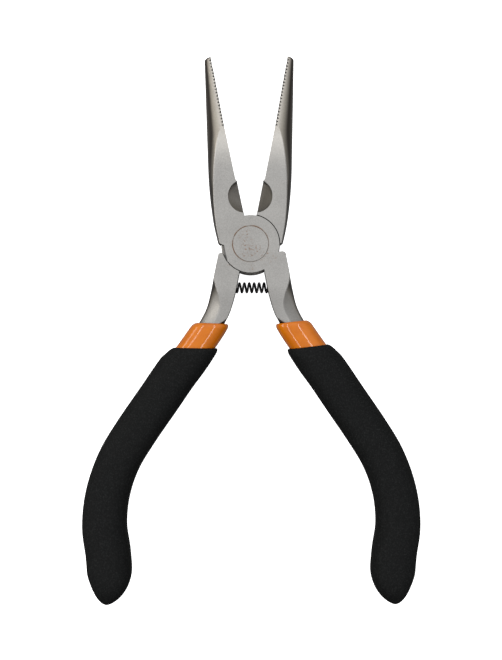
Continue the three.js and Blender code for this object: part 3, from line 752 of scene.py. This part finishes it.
def spring_socket(half):
    radius = SPRING_RADIUS + SPRING_WIRE / 2 + SOCKET_GAP
    hole = cylinder("socket", radius, 0, socket_floor(half), 48)
    lie = Matrix.Translation((0, SPRING_Y, MIDDLE)) @ Matrix.Rotation(math.pi / 2, 4, "Y")
    hole.data.transform(Matrix.Rotation(-math.radians(half["rest"]), 4, "Z") @ lie)
    return hole


def cutter_scoop(upper):
    """The round bevel beside the cutting edge, on the upper or the lower face."""
    scoop = cylinder("scoop", SCOOP_RADIUS, MIDDLE, THICKNESS + 2 * CUT_PAST, 96)
    scoop.data.transform(Matrix.Translation((SCOOP_OFFSET, CUTTER_MIDDLE, 0)))
    land, beyond = MIDDLE + CUTTER_LAND, 9
    slope = [(-BEVEL_REACH, THICKNESS), (-BITE_GAP, land), (beyond, land),
             (beyond, 3 * MIDDLE), (-BEVEL_REACH, 3 * MIDDLE)]
    above = skin("above", [[(x, y, z) for x, z in slope] for y in (20, 0)])
    boolean(scoop, above, "INTERSECT")
    if not upper:
        scoop.data.transform(Matrix.Translation((0, 0, THICKNESS)) @ Matrix.Scale(-1, 4, (0, 0, 1)))
        scoop.data.flip_normals()
    return scoop


# %% Joint
LAP_CHAMFER = 0.35


def boss(half, low):
    """The round half of the lap joint, chamfered on the lap side and flat beside the stop."""
    round_part = turned("boss", [(half["boss"] - LAP_CHAMFER, low),
                                 (half["boss"], low + LAP_CHAMFER), (half["boss"], THICKNESS)])
    flat = half["flat"]
    beside = plate("beside_flat", [(-flat, -20), (-flat, 20), (-flat - 20, 20), (-flat - 20, -20)],
                   -CUT_PAST, THICKNESS + CUT_PAST)
    return boolean(round_part, beside)


# %% Make the two levers
EDGE_WEAR = 0.1  # how far the machined edges are broken
FLAT_FACING = 0.9995  # a face that looks this straight up or down belongs to a ground flat


def rounded_edges(obj, width, angle=32):
    bevel = obj.modifiers.new("edges", "BEVEL")
    bevel.width = width
    bevel.segments = 2
    bevel.limit_method = "ANGLE"
    bevel.angle_limit = math.radians(angle)
    bevel.harden_normals = False
    bevel.use_clamp_overlap = True
    return made_plain(obj)


def placed(obj, matrix):
    """Brings a piece from millimetres, shut, to metres, at rest."""
    obj.data.transform(Matrix.Scale(MM, 4) @ matrix)
    obj.data.update()
    return obj


def smooth(obj, angle=35):
    """Shades the curved faces smoothly and leaves the ground flats dead flat."""
    obj.data.shade_smooth()
    obj.data.set_sharp_from_angle(angle=math.radians(angle))
    for face in obj.data.polygons:
        face.use_smooth = abs(face.normal.z) < FLAT_FACING
    return obj


def lever(name, half):
    front = MIDDLE + LAP / 2
    body = jaw()
    boolean(body, below_jaw_shoulder())
    boolean(body, cutter_scoop(True))
    boolean(body, cutter_scoop(False))
    handle = tang()
    boolean(handle, above_shank_shoulder())
    handle.data.transform(lean_matrix(half))
    boolean(handle, spring_socket(half))
    boolean(body, handle, "UNION")
    boolean(body, cylinder("pocket", half["other"] + SEAM, -CUT_PAST, front))
    boolean(body, boss(half, front), "UNION")
    top = THICKNESS + CUT_PAST
    boolean(body, cylinder("hole", RIVET_SHANK + RIVET_GAP, -CUT_PAST, top, 96))
    recess_floor = THICKNESS - RIVET_HEAD_DEPTH - RECESS_GAP
    boolean(body, cylinder("recess", RIVET_HEAD + RECESS_GAP, recess_floor, top))
    rounded_edges(body, EDGE_WEAR)
    boolean(body, teeth, keep_tool=True)
    body.name = name
    body.data.materials.clear()
    body.data.materials.append(steel_finish)
    placed(smooth(body), half["place"])
    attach(body, half["body"])
    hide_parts(name.replace("_forging", "_lever"))
    print(name, len(body.data.polygons), "faces")
    return body


levers = {key: lever(key + "_forging", half) for key, half in HALVES.items()}
bpy.data.objects.remove(teeth)

# %% [markdown]
# ## The rivet
# The rivet is peened flush and ground with the flats, so only its circle shows. It is turned from
# a profile, with a small chamfer at each end that draws the circle.

# %% Rivet
CHAMFER = 0.07
rivet = turned("peened_rivet", [
    (RIVET_HEAD - CHAMFER, 0), (RIVET_HEAD, CHAMFER), (RIVET_HEAD, RIVET_HEAD_DEPTH),
    (RIVET_SHANK, RIVET_HEAD_DEPTH), (RIVET_SHANK, THICKNESS - RIVET_HEAD_DEPTH),
    (RIVET_HEAD, THICKNESS - RIVET_HEAD_DEPTH), (RIVET_HEAD, THICKNESS - CHAMFER),
    (RIVET_HEAD - CHAMFER, THICKNESS)])
rivet.data.materials.append(steel_finish)
placed(smooth(rivet), Matrix())
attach(rivet, "back_half")
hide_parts("pivot_rivet")
print("rivet", len(rivet.data.polygons), "faces")

# %% [markdown]
# ## The return spring
# A helix is a rule, so Geometry Nodes draw it: a spiral curve, and a round wire swept along it. It
# lies across the handles, between the two levers.

# %% Spring from Geometry Nodes
SPRING_PITCH = 1.13


def spring_tree():
    group, tree, given = node_group("coil_spring", {
        "Coil Radius": "Float", "Wire Radius": "Float", "Turns": "Float", "Length": "Float",
        "Steps per Turn": "Int", "Material": "Material"})
    helix = tree.add("GeometryNodeCurveSpiral", None, {
        "Resolution": given["Steps per Turn"], "Rotations": given["Turns"],
        "Start Radius": given["Coil Radius"], "End Radius": given["Coil Radius"],
        "Height": given["Length"], "Reverse": False})
    section = tree.add("GeometryNodeCurvePrimitiveCircle", None,
                       {"Resolution": 12, "Radius": given["Wire Radius"]})
    wire = tree.add("GeometryNodeCurveToMesh", None,
                    {"Curve": helix, "Profile Curve": section, "Fill Caps": True})
    round_off = tree.add("GeometryNodeSetShadeSmooth", None, {"Geometry": wire})
    finish_group(tree, round_off, given["Material"])
    return group


seat = SPRING_WIRE / 2 + SOCKET_GAP
spring_from = seat - socket_floor(HALVES["back"])
spring_to = socket_floor(HALVES["front"]) - seat
spring = grown("coil_spring", spring_tree(), {
    "Coil Radius": SPRING_RADIUS, "Wire Radius": SPRING_WIRE / 2,
    "Turns": (spring_to - spring_from) / SPRING_PITCH, "Length": spring_to - spring_from,
    "Steps per Turn": 40, "Material": wire_finish})
across = Matrix.Translation((spring_from, SPRING_Y, MIDDLE)) @ Matrix.Rotation(math.pi / 2, 4, "Y")
placed(spring, across)
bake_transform(spring)
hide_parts("return_spring")
print("spring", len(spring.data.polygons), "faces")

# %% [markdown]
# ## Dipped sleeves and foam grips
# Both are sleeves along the handle's curve: a section swept along a path, hollow, closed at the
# far end and cut aslant at the mouth. A list of stations says the rule, from the bottom of the
# hole, out round the lip and down the outside. Geometry Nodes then wrap a grid round the stations,
# which keeps the tree short and the sizes in one place.

# %% Sleeve tree


def sleeve_tree():
    """Wraps a grid round stations: u goes round the section and v from station to station."""
    group, tree, given = node_group("swept_sleeve", {
        "Around": "Int", "Stations": "Int", "Squareness": "Float", "Material": "Material"})
    grid = tree.add("GeometryNodeMeshGrid", None, {
        "Size X": 1.0, "Size Y": 1.0, "Vertices X": given["Around"],
        "Vertices Y": given["Stations"]})
    u, v, _ = tree.split(tree.add("GeometryNodeInputPosition"))
    turn = (u + 0.5) * (2 * math.pi)
    index = ((v + 0.5) * (given["Stations"] - 1.0)).math("ROUND")

    def station(name):
        kind = {"data_type": "FLOAT_VECTOR"}
        named = tree.add("GeometryNodeInputNamedAttribute", kind, {"Name": name})
        return tree.add("GeometryNodeSampleIndex", {"data_type": "FLOAT_VECTOR"},
                        {0: given["Geometry"], 1: named, 2: index})

    def softened(wave):
        return abs(wave) ** (2.0 / given["Squareness"]) * wave.math("SIGN")

    def scaled(vector, by):
        return tree.add("ShaderNodeVectorMath", {"operation": "SCALE"}, {0: vector, "Scale": by})

    def added(a, b):
        return tree.add("ShaderNodeVectorMath", {"operation": "ADD"}, {0: a, 1: b})

    side = scaled(station("across"), softened(turn.math("COSINE")))
    rise = scaled(station("upward"), softened(turn.math("SINE")))
    place = added(station("centre"), added(side, rise))
    wrapped = tree.add("GeometryNodeSetPosition", None, {"Geometry": grid, "Position": place})
    closed = tree.add("GeometryNodeMergeByDistance", None, {"Geometry": wrapped, "Distance": 0.002})
    shaded = tree.add("GeometryNodeSetShadeSmooth", None, {"Geometry": closed})
    finish_group(tree, shaded, given["Material"])
    return group


SLEEVE_TREE = sleeve_tree()


def swept_sleeve(name, stations, squareness, material, around=96):
    """Each station is (distance along, width, thickness, shear)."""
    centres, acrosses, upwards = [], [], []
    for along, width, thickness, shear in stations:
        here, forward, outward = on_line(along)
        over = along - HANDLE_LENGTH
        if over > 0:
            here = here + forward * over
        centres.append((*here, MIDDLE))
        acrosses.append((*((outward + forward * shear) * width / 2), 0))
        upwards.append((0, 0, thickness / 2))
    rail = bpy.data.meshes.new(name + "_rail")
    rail.from_pydata(centres, [], [])
    for key, values in (("centre", centres), ("across", acrosses), ("upward", upwards)):
        layer = rail.attributes.new(key, "FLOAT_VECTOR", "POINT")
        layer.data.foreach_set("vector", np.array(values, float).ravel())
    values = {"Around": around + 1, "Stations": len(stations), "Squareness": squareness,
              "Material": material}
    return grown(name, SLEEVE_TREE, values, rail)


# %% Sleeve stations
END_ROUNDING = ((1.75, 0.66), (2.6, 0.6))  # exponents of a closed end's width and thickness


def end_share(along, end, taper):
    """How much of the full width and thickness is left near a closed end."""
    done = min(max(1 - (end - along) / taper, 0), 1)
    return tuple((1 - done**inner) ** outer for inner, outer in END_ROUNDING)


def sleeve_stations(start, end, taper, hole_end, lip, outside, inside, shear, shear_length=9):
    """From the bottom of the hole to its mouth, round the lip, and on to the closed end."""
    def leaned(along):
        return shear * (1 - float(ease(start, start + shear_length, along)))
    out = [(hole_end, 0.0, 0.0, leaned(hole_end))]
    for along in np.linspace(hole_end, start, 24):
        out.append((along, *inside(along), leaned(along)))
    mouth = inside(start)
    for turn in np.radians(np.linspace(5, 90, 12)):
        along = start + lip * (1 - math.cos(turn))
        full = outside(along)
        out.append((along, mix(mouth[0], full[0], math.sin(turn)),
                    mix(mouth[1], full[1], math.sin(turn)), leaned(along)))
    body = np.linspace(start + lip * 1.15, end - taper, 60)
    closing = end - taper * (1 - np.sin(np.linspace(0, 0.5, 26) * math.pi))
    for along in (*body, *closing[1:]):
        width, thickness = outside(along)
        wide, thick = end_share(along, end, taper)
        out.append((along, width * wide, thickness * thick, leaned(along)))
    return out


SLEEVE_GAP = 0.15  # between the tang and the vinyl, and between the vinyl and the foam
SLEEVE_WIDTH, SLEEVE_THICKNESS = 7.55, 7.4
DIPPED_END_WIDTH = 6.4
DIPPED_END = TANG_END + 2.4
DIPPED_TAPER, DIPPED_LIP = 3, 1.3
DIPPED_SQUARENESS = 2.4  # 2 is an ellipse, and more is squarer
MOUTH_FLARE, MOUTH_FLARE_LENGTH = 0.5, 4  # opens the vinyl round the wider steel at its mouth
GRIP_START = 24.7
GRIP_NECK_WALL, GRIP_WALL, GRIP_PALM_WALL = 0.675, 1.05, 1.22
GRIP_NECK_LENGTH = 6
GRIP_PALM = (0.62, 0.86)  # shares of the handle over which the grip widens to fill the palm
GRIP_THICKNESS, GRIP_NECK_SHARE = 9.4, 0.93
GRIP_TAPER, GRIP_LIP = 8.4, 1.5
GRIP_SQUARENESS = 2.5


def tang_hole(along):
    section = tang_section(along)
    opening = 1 - float(ease(SLEEVE_START, SLEEVE_START + MOUTH_FLARE_LENGTH, along))
    width, thickness = section.max(axis=0) - section.min(axis=0) + 2 * SLEEVE_GAP
    return width + MOUTH_FLARE * opening, thickness + MOUTH_FLARE / 2 * opening


def dipped_outside(along):
    to_end = min(max((along - SLEEVE_START) / (DIPPED_END - SLEEVE_START), 0), 1)
    return mix(SLEEVE_WIDTH, DIPPED_END_WIDTH, to_end), SLEEVE_THICKNESS


def grip_outside(along):
    neck = float(ease(GRIP_START, GRIP_START + GRIP_NECK_LENGTH, along))
    palm = float(ease(*GRIP_PALM, along / HANDLE_LENGTH))
    wall = mix(mix(GRIP_NECK_WALL, GRIP_WALL, neck), GRIP_PALM_WALL, palm)
    width = SLEEVE_WIDTH + 2 * (SLEEVE_GAP + wall)
    return width, GRIP_THICKNESS * mix(GRIP_NECK_SHARE, 1, neck)


def dipped_hole(along):
    width, thickness = dipped_outside(along)
    return width + 2 * SLEEVE_GAP, thickness + 2 * SLEEVE_GAP


# %% Make the sleeves and the grips
for half in HALVES.values():
    coat = sleeve_stations(SLEEVE_START, DIPPED_END, DIPPED_TAPER, TANG_END + SLEEVE_GAP,
                           DIPPED_LIP, dipped_outside, tang_hole, half["dipped_shear"])
    dipped = swept_sleeve(half["side"] + "_vinyl_coat", coat, DIPPED_SQUARENESS, vinyl_finish)
    tube = sleeve_stations(GRIP_START, HANDLE_LENGTH, GRIP_TAPER, DIPPED_END + SLEEVE_GAP,
                           GRIP_LIP, grip_outside, dipped_hole, half["grip_shear"])
    grip = swept_sleeve(half["side"] + "_foam_tube", tube, GRIP_SQUARENESS, foam_finish)
    for piece, node, slot_name in ((dipped, "_dipped_sleeve", "dipped_vinyl"),
                                   (grip, "_foam_grip", "foam")):
        piece.data.transform(lean_matrix(half))
        placed(piece, half["place"])
        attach(piece, half["body"])
        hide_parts(half["side"] + node)
        print(piece.name, len(piece.data.polygons), "faces")

# %% [markdown]
# ## Camera, floor and light
# The pliers lie on a pale table and the camera looks straight down on them. An even sky gives the
# satin flats their calm grey. Two long strips run the same way as the pliers, one on each side of
# overhead, and each draws a streak along the glossy vinyl. A warm box low on the left catches the
# rounded noses. Only the camera sees the table and the white sky, so the table stays clean white
# and throws no light back up at the steel.

# %% Camera
VIEW_HEIGHT = 151.8 * MM
CAMERA_DISTANCE = 0.215
LOOK_AT = Vector((0.09, -19.5, MIDDLE)) * MM
camera_data = bpy.data.cameras.new("camera")
camera_data.sensor_fit = "VERTICAL"
camera_data.sensor_height = 24
camera_data.lens = 24 * CAMERA_DISTANCE / VIEW_HEIGHT
camera_data.clip_start = 0.01
camera = bpy.data.objects.new("camera", camera_data)
camera.location = LOOK_AT + Vector((0, 0, CAMERA_DISTANCE))
bpy.context.scene.collection.objects.link(camera)
bpy.context.scene.camera = camera

# %% Floor
FLOOR_SIZE = 3.0
floor_z = cad_box[0][2]
edge = FLOOR_SIZE / 2
floor = new_object("floor", [(-edge, -edge, floor_z), (edge, -edge, floor_z), (edge, edge, floor_z),
                             (-edge, edge, floor_z)], [(0, 1, 2, 3)])
floor.data.materials.append(surface("pale_table", lambda tree, at: {
    "Base Color": (0.93, 0.93, 0.93, 1), "Roughness": 0.9, "Specular IOR Level": 0.1,
    "Emission Color": (1, 1, 1, 1), "Emission Strength": 1.0}))
floor.visible_diffuse = False
floor.visible_glossy = False

# %% Light


def soft_box(name, location, size, energy, colour=(1, 1, 1)):
    light = bpy.data.lights.new(name, "AREA")
    light.shape = "RECTANGLE"
    light.size, light.size_y = size
    light.energy = energy
    light.color = colour
    box = bpy.data.objects.new(name, light)
    box.location = location
    box.rotation_euler = (0, math.atan2(location[0], location[2]), 0)
    bpy.context.scene.collection.objects.link(box)
    return box


soft_box("left_strip", (-0.22, 0.0, 0.45), (0.03, 0.8), 0.8)
soft_box("right_strip", (0.12, 0.0, 0.48), (0.035, 0.8), 0.75)
soft_box("low_left_box", (-0.55, 0.10, 0.27), (0.16, 0.5), 1.2, (1.0, 0.95, 0.87))
world = bpy.data.worlds.new("studio")
world.use_nodes = True
sky = Tree(world.node_tree)
_, northward, height = sky.split(sky.add("ShaderNodeTexCoord", out="Generated"))
seen = sky.add("ShaderNodeLightPath", out="Is Camera Ray")
glow = (height.smooth(0.0, 0.95) * 0.62 + 0.3) * (1 + northward * 0.85)
glow = glow.math("MAXIMUM", seen)
background = world.node_tree.nodes["Background"]
background.inputs["Color"].default_value = (1, 1, 1, 1)
world.node_tree.links.new(glow.socket, background.inputs["Strength"])
bpy.context.scene.world = world
bpy.context.scene.view_settings.view_transform = "Standard"
